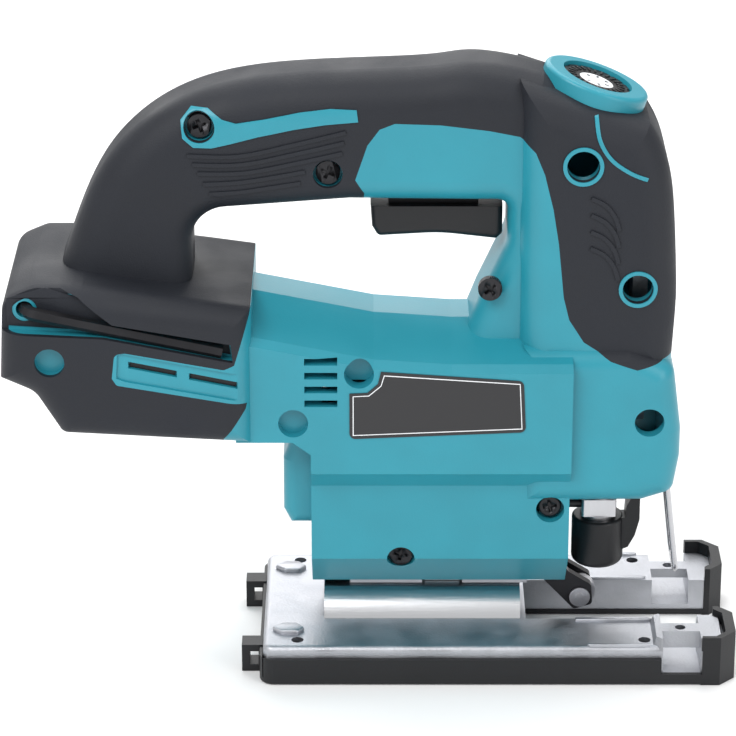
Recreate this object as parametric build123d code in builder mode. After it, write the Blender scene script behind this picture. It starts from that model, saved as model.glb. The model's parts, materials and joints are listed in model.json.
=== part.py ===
"""Cordless top-handle jigsaw, modelled as an assembly of separate pieces.

Frame: +X points forward to the blade, +Z up, +Y to the operator's left. The origin is at the bottom
centre of the whole tool, on the sole that slides on the work. All lengths are millimetres.
"""

from build123d import *
import os
from math import cos, radians, sin

# ---- driving dimensions -------------------------------------------------------------------------
SKIN = 2.0                      # thickness of the soft grip cover
BODY_HALF, NOSE_HALF, COLUMN_HALF, HANDLE_HALF, MOUNT_HALF = 31.0, 27.0, 24.0, 17.5, 36.0
HANDLE_ROUNDING, GAP_ROUNDING = 12.0, 8.0
SHOE_HALF = 25.0                # half width of the panel below the motor
NECK_HALF, NECK_Z = 9.2, 25.7   # underside of the housing, which straddles the tilting saddle

SOLE_HALF, TRAY_FLOOR, TRAY_WALL, TRAY_RIM = 38.5, 2.0, 1.6, 9.5
PLATE_REAR, PLATE_TOP = -38.0, 13.5
SLOT_HALF, SLOT_REAR = 15.0, 53.0
TILT_Z, TILT_RADIUS, TILT_GAP = 8.0, 16.0, 0.3
SADDLE_REAR, SADDLE_FRONT, SADDLE_WALL = -17.0, 51.0, 3.0
CLAMP_X, BASE_SLIDE = 24.0, 6.0
NUT_GROOVE_RADIUS, NUT_HALF_LENGTH = 19.6, 6.0   # swing of the bevel clamp's nut

MOTOR_Z = 92.0
GEAR_MODULE, PINION_TEETH, GEAR_TEETH = 1.25, 10, 28
CRANK_Z = MOTOR_Z + GEAR_MODULE * (PINION_TEETH + GEAR_TEETH) / 2
STROKE = 26.0
CRANK_THROW = STROKE / 2
PLUNGER_X, PLUNGER_RADIUS, PLUNGER_TOP = 78.0, 5.0, 158.0
RUNNING = 0.05

ARM_PIVOT_X, ARM_PIVOT_Z = 60.0, 31.0
ROLLER_X, ROLLER_Z, ROLLER_RADIUS = 72.0, 17.5, 5.6

TRIGGER_BOTTOM = 151.5
HEX_SIZE = 4.0
DIAL_TILT, DIAL_X, DIAL_Z = 19.0, 74.0, 206.0
DIAL_RADIUS, COLLAR_RADIUS = 11.5, 18.0
COLLAR_HEIGHT, DIAL_DROP, DIAL_THICK = 7.5, 1.2, 5.0
DIAL_PLANE = Plane(
    origin=(DIAL_X, 0, DIAL_Z), x_dir=(cos(radians(DIAL_TILT)), 0, -sin(radians(DIAL_TILT))),
    z_dir=(sin(radians(DIAL_TILT)), 0, cos(radians(DIAL_TILT))),
)

# Screw wells of the right shell: X, Z, well radius and the distance of its floor from mid-plane.
WELLS = [
    (-57.0, 194.0, 4.9, 12.5),
    (-15.0, 178.0, 4.9, 13.0),
    (38.7, 139.0, 5.0, 19.0),
    (60.0, 60.0, 4.8, 20.0),
    (9.4, 41.0, 4.8, 18.0),
    (-4.8, 112.3, 5.0, 25.0),
    (-26.8, 94.5, 5.0, 27.0),
    (68.5, 183.0, 5.3, 17.0),
    (87.5, 140.0, 5.0, 15.5),
    (-107.0, 118.5, 5.0, 32.0),
    (92.6, 93.0, 5.0, 19.5),
]
SEEN_SCREWS = 5                 # the first wells hold a screw each
HEAD_RADIUS, HEAD_HEIGHT = 4.0, 2.6

os.makedirs("parts", exist_ok=True)


def save(builder, name):
    """Labels a finished piece and writes its file."""
    builder.part.label = name
    export_step(builder.part, f"parts/{name}.step")


def polygon(points, plane=Plane.XZ, rounded=None):
    """A closed straight-sided outline; rounded gives a radius to the corner with that number."""
    with BuildSketch(plane) as outline:
        with BuildLine():
            Polyline(*points, close=True)
        make_face()
        for place, radius in (rounded or {}).items():
            fillet(outline.vertices().sort_by_distance((*points[place], 0))[0], radius)
    return outline.sketch


# ---- the outer form of the housing, drawn in by inset -------------------------------------------
def slab(sketch, half, rounding, inset=0.0):
    """An outline given its width, with its long edges rounded."""
    with BuildPart() as piece:
        extrude(sketch, amount=half - inset, both=True)
        radius = max(rounding - inset, 0.8)
        ends = piece.faces().sort_by(Axis.Y)
        fillet(ends[0].edges() + ends[-1].edges(), radius)
    return piece.part


HAND_GAP = [
    (-60.5, 118), (30, 118), (35, 131), (44.5, 152), (44.5, 167), (-8, 167.5), (-60.5, 163.5),
]


def hand_gap(grow=0.0):
    """Outline of the gap for the fingers; its lower edge lies inside the motor body."""
    with BuildSketch(Plane.XZ) as gap:
        with BuildLine():
            Polyline(*HAND_GAP, close=True)
        make_face()
        for place, radius in ((3, 12), (4, 3.5), (6, 12)):
            fillet(gap.vertices().sort_by_distance((*HAND_GAP[place], 0))[0], radius)
        if grow:
            offset(amount=grow, kind=Kind.ARC)
    return gap.sketch


def handle(inset=0.0):
    """Rear leg, arch and front leg of the closed handle, rounded outside and round the hand gap."""
    with BuildSketch(Plane.XZ) as outline:
        with BuildLine():
            arch = Spline(
                (-104 + inset, 144), (-86 + inset, 183 - inset), (-69 + inset, 198 - inset),
                (-24, 209.5 - inset), (22, 212 - inset), (56, 209 - inset),
                tangents=((0.35, 0.94), (0.95, -0.25)),
            )
            Polyline(arch @ 1, (75, 198 - inset), (75, 92), (-100 + inset, 92), arch @ 0)
        make_face()
        add(hand_gap(inset), mode=Mode.SUBTRACT)
    with BuildPart() as ring:
        extrude(outline.sketch, amount=HANDLE_HALF - inset, both=True)
        flanks = ring.faces().sort_by(Axis.Y)
        outside = flanks[0].outer_wire().edges() + flanks[-1].outer_wire().edges()
        fillet(outside, HANDLE_ROUNDING - inset)
        flanks = ring.faces().sort_by(Axis.Y)
        rims = flanks[0].inner_wires()[0].edges() + flanks[-1].inner_wires()[0].edges()
        fillet(rims.filter_by(lambda edge: edge.center().Z > 132), GAP_ROUNDING - inset)
    return ring.part


def column(inset=0.0):
    """The front column: a slope for the dial on top and a gently bowed front."""
    with BuildSketch(Plane.XZ) as outline:
        with BuildLine():
            front = Spline(
                (90.5 - inset, 195 - inset), (96.5 - inset, 183), (99.5 - inset, 165),
                (101 - inset, 140), (100 - inset, 108),
                tangents=((0.6, -0.8), (-0.05, -1)),
            )
            Polyline(front @ 1, (48 + inset, 108), (48 + inset, 209.4 - inset), front @ 0)
        make_face()
    return slab(outline.sketch, COLUMN_HALF, 11.0, inset)


def nose(inset=0.0):
    """The gear nose, which overhangs the blade clamp."""
    points = [
        (50, 62 + inset), (91, 62.5 + inset), (101.5 - inset, 66), (103.5 - inset, 79),
        (103.5 - inset, 89), (100.5 - inset, 112), (86, 119 - inset), (50, 119 - inset),
    ]
    sketch = polygon(points, rounded={1: 4, 2: 4, 3: 6, 4: 6, 5: 6})
    return slab(sketch, NOSE_HALF, 7.0, inset)


def motor_section(x, ridge, inset=0.0):
    """Cross-section of the motor body: a low roof, upright flanks and the V-shaped underside."""
    half = [
        (NECK_HALF - inset, NECK_Z), (SHOE_HALF - inset, NECK_Z + SHOE_HALF - NECK_HALF),
        (SHOE_HALF - inset, 69), (BODY_HALF - inset, 76), (BODY_HALF - inset, ridge - 12.5 - inset),
        (28.5 - inset, ridge - 10 - inset), (20, ridge - 6.3 - inset), (8, ridge - 1.2 - inset),
    ]
    with BuildSketch(Plane.YZ.offset(x)) as section:
        with BuildLine():
            Polyline(*half, *[(-y, z) for y, z in reversed(half)], close=True)
        make_face()
    return section.sketch


def motor_body(inset=0.0):
    """The motor body: its roof rises to the rear, and its rear wall steps in above the base."""
    with BuildPart() as body:
        for x, ridge in ((-62 + inset, 138.5), (-40, 134.8), (0, 126.8), (26, 125.0), (66.5 - inset, 125.0)):
            add(motor_section(x, ridge, inset))
        loft(ruled=True)
        with BuildSketch(Plane.XZ) as under_tail:
            with BuildLine():
                Polyline(
                    (-70, 20), (-21 + inset, 20), (-21 + inset, 83), (-27, 87.5 + inset),
                    (-70, 87.5 + inset), close=True,
                )
            make_face()
        extrude(amount=60, both=True, mode=Mode.SUBTRACT)
    return body.part


def mount(inset=0.0):
    """The battery mount at the foot of the rear leg."""
    points = [
        (-124 + inset, 111), (-122.5 + inset, 139 - inset), (-112, 143.5 - inset),
        (-96, 143.5 - inset), (-56, 138.2 - inset), (-40.5 - inset, 136 - inset),
        (-40.5 - inset, 87.5 + inset), (-104, 91 + inset), (-113 + inset, 106 + inset),
    ]
    return slab(polygon(points, rounded={1: 7, 2: 8, 7: 3, 8: 8}), MOUNT_HALF, 8.0, inset)


def motor_tail(inset=0.0):
    """The rounded lobe behind the motor, over its rear bearing."""
    points = [
        (-30.5 + inset, 57), (-30.5 + inset, 76), (-26, 89 - inset), (-10, 89 - inset),
        (-10, 52 + inset), (-28 + inset, 52 + inset),
    ]
    return slab(polygon(points), 20.0, 4.0, inset)


def form(inset=0.0):
    """The whole outer form of the housing, drawn in by inset."""
    with BuildPart() as whole:
        add(handle(inset))
        add(column(inset))
        add(nose(inset))
        add(mount(inset))
        add(motor_body(inset))
        add(motor_tail(inset))
    return whole.part


# ---- casing: two hard shells, the soft grip cover over them, and what is cut out of them -----------
GRIP_EDGE = [
    (-135, 60), (-52, 60), (-50, 90), (-42.5, 101), (-42, 103), (-85, 110.5), (-86.5, 113), (-85.5, 121.5),
    (-82, 122), (-49.5, 116), (-46, 117.5), (-44, 124), (-41, 134), (-38, 150), (-4, 160), (-3, 171),
    (-6, 176), (-2, 188), (2, 193.5), (7, 195.5), (22, 195), (38, 193), (48, 191), (53, 187), (56, 180),
    (59, 168), (61, 156), (63, 137), (65, 129), (70, 121), (79, 115), (88, 112), (98, 114), (130, 116),
    (130, 230), (-135, 230),
]
MOTOR_BAY_HALF, COLUMN_BAY_HALF, HANDLE_BAY_HALF = 27.0, 19.0, 11.0
BATTERY_HALF, BATTERY_TOP, BATTERY_FRONT = 31.5, 110.2, -46.0


def grip_region():
    """Everything seen as soft grip in side view, as a slab through the whole tool."""
    with BuildPart() as region:
        extrude(polygon(GRIP_EDGE, rounded={5: 1.5, 7: 2, 9: 2, 14: 3, 27: 3}), amount=60, both=True)
    return region.part


def block(points, half):
    """A straight-sided outline in side view, given its width about mid-plane."""
    with BuildPart() as piece:
        extrude(polygon(points), amount=half, both=True)
    return piece.part


def hollow():
    """The space inside the casing for the motor, gears, plunger, switch and battery."""
    with BuildPart() as space:
        add(block([(-57, 196), (-24, 205), (22, 208), (52, 205), (60, 190), (49.5, 180), (49.5, 150),
                   (40, 128), (50, 110), (60, 110), (60, 172), (-50, 170), (-66, 165), (-67, 134),
                   (-92, 134), (-92, 150), (-80, 180)], HANDLE_BAY_HALF))
        add(block([(52.5, 100), (96, 100), (96, 160), (93, 178), (86, 190), (54, 199)], COLUMN_BAY_HALF))
        add(block([(52.5, 66), (99, 67), (99, 90), (96, 112), (52.5, 112)], 22.5))
        add(block([(64, 50), (96, 50), (96, 70), (64, 70)], 15.0))
        for x in (-17.5, 62.5):
            with BuildSketch(Plane.YZ.offset(x)) as section:
                with BuildLine():
                    side = [(6.7, NECK_Z - 5), (6.7, 34), (19, 44), (21, 70), (MOTOR_BAY_HALF, 78),
                            (MOTOR_BAY_HALF, 106), (16, 117)]
                    Polyline(*side, *[(-y, z) for y, z in reversed(side)], close=True)
                make_face()
        loft(ruled=True)
        with Locations((BATTERY_FRONT - 50, 0, BATTERY_TOP - 25)):
            Box(100, 2 * BATTERY_HALF, 50)
        with Locations((-34, 0, 108)):
            Box(28, 34, 24)
        add(block([(-27, 58), (-17, 58), (-17, 101), (-27, 101)], 14))
        add(block([(44, 108), (54, 108), (54, 121.5), (44, 121.5)], 8))
        add(block([(60, 20), (70, 20), (70, 38), (60, 38)], 6.7))
        with BuildSketch(Plane.YZ.offset(CLAMP_X - NUT_HALF_LENGTH - 1)):
            with Locations((0, TILT_Z)):
                Circle(NUT_GROOVE_RADIUS)
        extrude(amount=2 * NUT_HALF_LENGTH + 2)
        add(block([(-1.7, 160), (43.8, 160), (43.8, 174), (-1.7, 174)], 9.2))
        with BuildSketch(DIAL_PLANE.offset(-COLLAR_HEIGHT)) as collar_seat:
            Ellipse(COLLAR_RADIUS, COLLAR_RADIUS - 1.5)
        extrude(amount=30)
        with BuildSketch(DIAL_PLANE.offset(-COLLAR_HEIGHT)) as dial_well:
            Circle(9)
        extrude(amount=-9)
    return space.part


OUTER, CORE = form(0.0), form(SKIN)
SOFT_ZONE, HOLLOW = grip_region(), hollow()
HEX_BEND, HEX_END, HEX_FLOOR = (-115, 135.5), (-50, 121.5), 30.4
HEX_SEAT = [(-130, 141), (-108, 145), (-97, 141), (-86, 132), (-47, 125), (-46.5, 118.5), (-89, 127),
            (-130, 129)]
WIRE_HALF, WIRE_RADIUS, WIRE_TOP, WIRE_FOOT = 9.0, 1.0, (100.3, 66.5), (104.8, 28.5)
WIRE_START = Plane(
    origin=(WIRE_TOP[0], 0, WIRE_TOP[1]), x_dir=(WIRE_TOP[1] - WIRE_FOOT[1], 0, WIRE_FOOT[0] - WIRE_TOP[0]),
    z_dir=(WIRE_TOP[0] - WIRE_FOOT[0], 0, WIRE_TOP[1] - WIRE_FOOT[1]),
)
LEVER_X, LEVER_Z = 40.0, 53.0

# Recesses in each side of the battery mount: outline, and the distance of the floor from mid-plane.
MOUNT_RECESSES = [
    ([(-85, 113), (-84.6, 121.4), (-83, 121.8), (-43.2, 114), (-42.4, 105.5), (-46, 105), (-82, 111.8)],
     35.2),
    ([(-81, 118.8), (-65, 115.5), (-65, 113.1), (-81, 116.4)], 33.4),
    ([(-61, 114.7), (-45, 111.4), (-45, 109), (-61, 112.3)], 33.4),
]


def casing_cuts(side):
    """Screw wells, vents and the seat of the hex key, which pass through cover and shell."""
    with BuildPart() as cuts:
        for x, z, radius, floor in WELLS:
            with BuildSketch(Plane.XZ.offset(-side * floor)) as well:
                with Locations((x, z)):
                    Circle(radius)
            extrude(amount=-side * (60 - floor))
        for outline, floor in MOUNT_RECESSES:
            extrude(polygon(outline, Plane.XZ.offset(-side * floor)), amount=-side * 10)
        for row in range(4):
            with Locations((-17.5, side * 30, 116.8 - 5 * row)):
                Box(11, 12, 2.4)
        with BuildSketch(WIRE_START) as wire_hole:
            with Locations((0, side * WIRE_HALF)):
                Circle(WIRE_RADIUS + 0.1)
        extrude(amount=-6)
        if side < 0:
            extrude(polygon(HEX_SEAT, Plane.XZ.offset(HEX_FLOOR)), amount=20)
            with BuildSketch(Plane.XZ.offset(14)) as short_leg_hole:
                with Locations(HEX_BEND):
                    Circle(2.9)
            extrude(amount=40)
        else:
            with BuildSketch(Plane.XZ.offset(-16)) as lever_hole:
                with Locations((LEVER_X, LEVER_Z)):
                    Circle(4.1)
            extrude(amount=-20)
    return cuts.part


def half_space(side):
    """Everything on one side of mid-plane."""
    with BuildPart() as region:
        with Locations((0, side * 60, 110)):
            Box(400, 120, 400)
    return region.part


def grip_cover(side):
    """The soft skin of one side."""
    with BuildPart() as cover:
        add(OUTER)
        add(SOFT_ZONE, mode=Mode.INTERSECT)
        add(CORE, mode=Mode.SUBTRACT)
        add(HOLLOW, mode=Mode.SUBTRACT)
        add(half_space(side), mode=Mode.INTERSECT)
        add(casing_cuts(side), mode=Mode.SUBTRACT)
    return cover


def hard_shell(side):
    """The hard casing of one side, thinner where the soft skin lies over it."""
    with BuildPart() as under_grip:
        add(CORE)
        add(SOFT_ZONE, mode=Mode.INTERSECT)
    with BuildPart() as shell:
        add(OUTER)
        add(SOFT_ZONE, mode=Mode.SUBTRACT)
        add(under_grip.part)
        add(HOLLOW, mode=Mode.SUBTRACT)
        add(half_space(side), mode=Mode.INTERSECT)
        add(casing_cuts(side), mode=Mode.SUBTRACT)
    return shell


for side, hand in ((-1, "right"), (1, "left")):
    save(hard_shell(side), f"housing_{hand}")
    save(grip_cover(side), f"grip_cover_{hand}")


# ---- helpers for turned and drilled pieces ------------------------------------------------------
def disc(plane, radius, thickness, bore=0.0):
    """A disc or ring that starts on the plane and grows along its normal."""
    with BuildPart() as piece:
        with BuildSketch(plane) as face:
            Circle(radius)
            if bore:
                Circle(bore, mode=Mode.SUBTRACT)
        extrude(amount=thickness)
    return piece.part


def across(x, z, y=0.0):
    """A plane square to Y at a place, growing towards +Y."""
    return Plane(origin=(x, y, z), x_dir=(1, 0, 0), z_dir=(0, 1, 0))


def along(x, y=0.0, z=MOTOR_Z):
    """A plane square to X at a place, growing towards +X."""
    return Plane(origin=(x, y, z), x_dir=(0, 1, 0), z_dir=(1, 0, 0))


def upward(x, z, y=0.0):
    """A level plane at a place, growing upwards."""
    return Plane(origin=(x, y, z))


# ---- casing screws ------------------------------------------------------------------------------
with BuildPart() as housing_screws:
    for x, z, radius, floor in WELLS[:SEEN_SCREWS]:
        add(disc(across(x, z, -floor - HEAD_HEIGHT), HEAD_RADIUS, HEAD_HEIGHT))
    fillet(housing_screws.edges().filter_by(GeomType.CIRCLE).group_by(Axis.Y)[0], 0.8)
save(housing_screws, "housing_screws")

# ---- dial on the front slope --------------------------------------------------------------------
with BuildPart() as dial_collar:
    with BuildSketch(DIAL_PLANE.offset(-COLLAR_HEIGHT)) as ring:
        Ellipse(COLLAR_RADIUS, COLLAR_RADIUS - 1.5)
        Circle(DIAL_RADIUS + 0.5, mode=Mode.SUBTRACT)
    extrude(amount=COLLAR_HEIGHT)
    outer_rim = dial_collar.faces().sort_by(Axis.Z)[-1].outer_wire().edges()
    fillet(outer_rim, 1.5)
save(dial_collar, "dial_collar")

with BuildPart() as speed_dial:
    add(disc(DIAL_PLANE.offset(-DIAL_DROP - DIAL_THICK), DIAL_RADIUS, DIAL_THICK))
    with BuildSketch(DIAL_PLANE.offset(-DIAL_DROP)) as notches:
        with PolarLocations(DIAL_RADIUS, 12):
            Circle(0.9)
        Circle(6.0)
    extrude(amount=-0.8, mode=Mode.SUBTRACT)
save(speed_dial, "speed_dial")

with BuildPart() as dial_label:
    add(disc(DIAL_PLANE.offset(-DIAL_DROP - 0.8), 5.9, 0.6))
save(dial_label, "dial_label")

with BuildPart() as dial_potentiometer:
    with BuildSketch(DIAL_PLANE.offset(-DIAL_DROP - DIAL_THICK - 0.3)) as pot:
        Rectangle(9, 9)
    extrude(amount=-5)
save(dial_potentiometer, "dial_potentiometer")

# ---- trigger and switch -------------------------------------------------------------------------
TRIGGER = [(-1, 163.5), (-0.5, 156), (1.5, TRIGGER_BOTTOM + 1), (22, TRIGGER_BOTTOM + 2.2),
           (41, TRIGGER_BOTTOM), (43, TRIGGER_BOTTOM + 2), (43, 163.5)]
with BuildPart() as trigger:
    extrude(polygon(TRIGGER, rounded={2: 2, 3: 60, 5: 1.5}), amount=8.5, both=True)
    flanks = trigger.faces().filter_by(Axis.Y)
    fillet(flanks.edges().filter_by(lambda edge: edge.center().Z < 162), 2.5)
    with BuildSketch(Plane.XY.offset(163.5)) as root:
        with Locations((20, 0)):
            Rectangle(30, 9)
    extrude(amount=8)
save(trigger, "trigger")

with BuildPart() as switch_unit:
    with Locations((16, 0, 192)):
        Box(44, 19, 20)
    with Locations((30, 0, 179.8)):
        Cylinder(2.4, 4.4)
save(switch_unit, "switch_unit")

with BuildPart() as trigger_spring:
    for turn in range(4):
        add(disc(upward(10, 172.2 + 2.4 * turn), 4.0, 1.0, 3.0))
    with Locations((13.4, 0, 176.4)):
        Box(1.0, 1.2, 8.2)
save(trigger_spring, "trigger_spring")

# ---- battery terminals and controller -----------------------------------------------------------
with BuildPart() as terminal_block:
    with Locations((-49, 0, BATTERY_TOP - 9.8)):
        Box(5.6, 46, 19.2)
save(terminal_block, "terminal_block")

with BuildPart() as terminal_blades:
    for y in (-16, 0, 16):
        with Locations((-60.9, y, 104)):
            Box(18, 0.9, 8)
save(terminal_blades, "terminal_blades")

with BuildPart() as battery_rails:
    for side in (-1, 1):
        with Locations((-76, side * 30.2, 99.5)):
            Box(56, 2.5, 3)
save(battery_rails, "battery_rails")

with BuildPart() as controller:
    with Locations((-36.5, 0, 105)):
        Box(15, 30, 12)
    for y in range(-12, 13, 4):
        with Locations((-36.5, y, 112.5)):
            Box(13, 1.2, 3)
save(controller, "controller")

# ---- motor --------------------------------------------------------------------------------------
CAN_REAR, CAN_FRONT, CAN_RADIUS = -8.0, 34.0, 21.5
with BuildPart() as motor_can:
    add(disc(along(CAN_REAR), CAN_RADIUS, CAN_FRONT - CAN_REAR, CAN_RADIUS - 2.0))
    for side in (-1, 1):
        with BuildSketch(along(CAN_REAR + 4)) as magnet:
            Circle(CAN_RADIUS - 1.8)
            Circle(CAN_RADIUS - 5.5, mode=Mode.SUBTRACT)
            with Locations((side * 20, 0)):
                Rectangle(22, 26, mode=Mode.INTERSECT)
        extrude(amount=34)
save(motor_can, "motor_can")

with BuildPart() as armature:
    add(disc(along(-24), 2.5, 85.5))
    add(disc(along(-1), 15.0, 28))
    with BuildSketch(along(-2)) as slots:
        with PolarLocations(15, 12):
            Rectangle(5, 1.6)
    extrude(amount=30, mode=Mode.SUBTRACT)
    add(disc(along(-16), 8.0, 7))
save(armature, "armature")

with BuildPart() as motor_fan:
    add(disc(along(30), 18.5, 1.5, 2.5))
    with BuildSketch(along(31.5)) as blades:
        with PolarLocations(12, 16):
            Rectangle(10, 1.2)
    extrude(amount=6)
save(motor_fan, "motor_fan")

for name, x in (("rear_bearing", -24.0), ("front_bearing", 44.0)):
    with BuildPart() as bearing:
        add(disc(along(x), 8.0, 6, 2.5))
        with BuildSketch(along(x + 5.4)) as groove:
            Circle(6.6)
            Circle(4.2, mode=Mode.SUBTRACT)
        extrude(amount=0.6, mode=Mode.SUBTRACT)
    save(bearing, name)

with BuildPart() as brush_holders:
    for side in (-1, 1):
        with Locations((-12.5, side * 14.2, MOTOR_Z)):
            Box(5, 11.6, 6)
save(brush_holders, "brush_holders")


# ---- gears and plunger --------------------------------------------------------------------------
def toothed(plane, teeth, thickness, bore, turn):
    """A gear whose teeth are simple blocks a little thinner than the gaps they run in."""
    pitch = GEAR_MODULE * teeth / 2
    with BuildPart() as gear:
        with BuildSketch(plane) as wheel:
            Circle(pitch - 1.2 * GEAR_MODULE)
            with PolarLocations(pitch - 0.35 * GEAR_MODULE, teeth, start_angle=turn):
                Rectangle(2.0 * GEAR_MODULE, 1.25 * GEAR_MODULE)
            Circle(bore, mode=Mode.SUBTRACT)
        extrude(amount=thickness)
    return gear.part


GEAR_X, GEAR_THICK, AXLE_RADIUS, PIN_RADIUS = 53.4, 6.0, 3.0, 2.5
with BuildPart() as motor_pinion:
    add(toothed(along(52.8), PINION_TEETH, 7.4, 2.5, 0))
save(motor_pinion, "motor_pinion")

with BuildPart() as crank_gear:
    add(toothed(along(GEAR_X, z=CRANK_Z), GEAR_TEETH, GEAR_THICK, AXLE_RADIUS + RUNNING, 0))
    add(disc(along(GEAR_X + GEAR_THICK, z=CRANK_Z), 7.0, 2.0, AXLE_RADIUS + RUNNING))
    add(disc(along(GEAR_X + GEAR_THICK, z=CRANK_Z - CRANK_THROW), PIN_RADIUS, 6.2))
save(crank_gear, "crank_gear")

with BuildPart() as crank_axle:
    add(disc(along(44.4, z=CRANK_Z), AXLE_RADIUS, 17.2))
save(crank_axle, "crank_axle")

FOOT_HALF, FOOT_REAR, FOOT_FRONT, TONGUE_HALF = 6.2, -8.0, 53.5, 2.0
with BuildPart() as gear_housing:
    with BuildSketch(along(44.0, z=0)) as plate:
        with Locations((0, 86)):
            RectangleRounded(36, 50, 6)
        with Locations((0, CRANK_Z)):
            Circle(5.5)
        with Locations((0, 52)):
            Rectangle(2 * FOOT_HALF, 30)
        with Locations((0, MOTOR_Z)):
            Circle(8.0, mode=Mode.SUBTRACT)
        with Locations((0, CRANK_Z)):
            Circle(AXLE_RADIUS, mode=Mode.SUBTRACT)
    extrude(amount=8.4)
    extrude(polygon([(FOOT_REAR, 20), (FOOT_FRONT, 20), (FOOT_FRONT, 42), (FOOT_REAR, 36)]),
            amount=FOOT_HALF, both=True)
    extrude(polygon([(FOOT_FRONT - 4, 27.5), (ARM_PIVOT_X + 2, 27), (ARM_PIVOT_X + 4, 31),
                     (ARM_PIVOT_X + 2, 35.5), (FOOT_FRONT - 4, 40)]), amount=TONGUE_HALF, both=True)
    add(disc(along(FOOT_REAR - 5, z=TILT_Z), TILT_RADIUS + TILT_GAP, 80), mode=Mode.SUBTRACT)
    add(disc(along(CLAMP_X - NUT_HALF_LENGTH - 1, z=TILT_Z), NUT_GROOVE_RADIUS, 2 * NUT_HALF_LENGTH + 2),
        mode=Mode.SUBTRACT)
    add(disc(across(ARM_PIVOT_X, ARM_PIVOT_Z, -10), 1.5, 20), mode=Mode.SUBTRACT)
save(gear_housing, "gear_housing")

YOKE_REAR, YOKE_FRONT, YOKE_HALF_HEIGHT = 66.8, 74.0, 6.0
YOKE_Z = CRANK_Z - CRANK_THROW
with BuildPart() as plunger:
    add(disc(upward(PLUNGER_X, 54.3), PLUNGER_RADIUS, PLUNGER_TOP - 54.3))
    add(disc(upward(PLUNGER_X, PLUNGER_TOP), PLUNGER_RADIUS - 1, 1.0))
save(plunger, "plunger")

with BuildPart() as plunger_yoke:
    with Locations(((YOKE_REAR + YOKE_FRONT) / 2, 0, YOKE_Z)):
        Box(YOKE_FRONT - YOKE_REAR, 35, 2 * YOKE_HALF_HEIGHT)
    with Locations((YOKE_REAR + 2, 0, YOKE_Z)):
        Box(4.2, 32, 2 * PIN_RADIUS + 0.4, mode=Mode.SUBTRACT)
    add(disc(upward(PLUNGER_X, YOKE_Z - YOKE_HALF_HEIGHT), 7.4, 2 * YOKE_HALF_HEIGHT))
    add(disc(upward(PLUNGER_X, YOKE_Z - 8), PLUNGER_RADIUS, 16), mode=Mode.SUBTRACT)
save(plunger_yoke, "plunger_yoke")

BUSH_RADIUS, LOWER_BUSH, UPPER_BUSH, BUSH_LENGTH = 7.5, 87.0, 146.5, 8.0
for name, z in (("lower_bush", LOWER_BUSH), ("upper_bush", UPPER_BUSH)):
    with BuildPart() as bush:
        add(disc(upward(PLUNGER_X, z), BUSH_RADIUS, BUSH_LENGTH, PLUNGER_RADIUS + RUNNING))
    save(bush, name)

with BuildPart() as guide_frame:
    for z in (LOWER_BUSH, UPPER_BUSH):
        with Locations((81, 0, z + BUSH_LENGTH / 2)):
            Box(22, 20, BUSH_LENGTH)
    with Locations((89.5, 0, (LOWER_BUSH + UPPER_BUSH + BUSH_LENGTH) / 2)):
        Box(5.0, 16, UPPER_BUSH + BUSH_LENGTH - LOWER_BUSH)
    for z in (LOWER_BUSH, UPPER_BUSH):
        add(disc(upward(PLUNGER_X, z - 1), BUSH_RADIUS, BUSH_LENGTH + 2), mode=Mode.SUBTRACT)
save(guide_frame, "guide_frame")

# ---- blade clamp --------------------------------------------------------------------------------
CLAMP_BOTTOM, SLEEVE_TOP, CORE_RADIUS, SLEEVE_RADIUS = 29.0, 47.0, 6.0, 9.0
with BuildPart() as blade_clamp_body:
    add(disc(upward(PLUNGER_X, CLAMP_BOTTOM), CORE_RADIUS, SLEEVE_TOP - CLAMP_BOTTOM + 1))
    with Locations((PLUNGER_X, 0, SLEEVE_TOP + 4.15)):
        Box(12, 11, 6.3)
    fillet(blade_clamp_body.edges().filter_by(Axis.Z).group_by(Axis.Z)[-1], 1.0)
    with Locations((PLUNGER_X, 0, CLAMP_BOTTOM + 8)):
        Box(8.6, 1.7, 18, mode=Mode.SUBTRACT)
save(blade_clamp_body, "blade_clamp_body")

LEVER_FIN = [
    (5, 33.2), (10.5, 35.5), (12.8, 40), (14.3, 46), (14.3, 56), (12.6, 56.8), (9.6, 51), (9.3, 46.6),
    (5, 46.6),
]
with BuildPart() as clamp_sleeve:
    add(disc(upward(PLUNGER_X, CLAMP_BOTTOM + 0.2), SLEEVE_RADIUS, SLEEVE_TOP - CLAMP_BOTTOM - 0.4))
    fillet(clamp_sleeve.edges().group_by(Axis.Z)[0], 2.5)
    fillet(clamp_sleeve.edges().group_by(Axis.Z)[-1], 1.0)
    extrude(polygon([(PLUNGER_X + x, z) for x, z in LEVER_FIN], rounded={2: 3, 3: 3, 4: 0.8}),
            amount=3.4, both=True)
    add(disc(upward(PLUNGER_X, CLAMP_BOTTOM - 1), CORE_RADIUS + RUNNING, 30), mode=Mode.SUBTRACT)
save(clamp_sleeve, "clamp_sleeve")

with BuildPart() as clamp_pin:
    add(disc(along(PLUNGER_X - 10.5, z=51.2), 1.9, 4.5))
    fillet(clamp_pin.edges().group_by(Axis.X)[0], 0.6)
save(clamp_pin, "clamp_pin")

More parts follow.
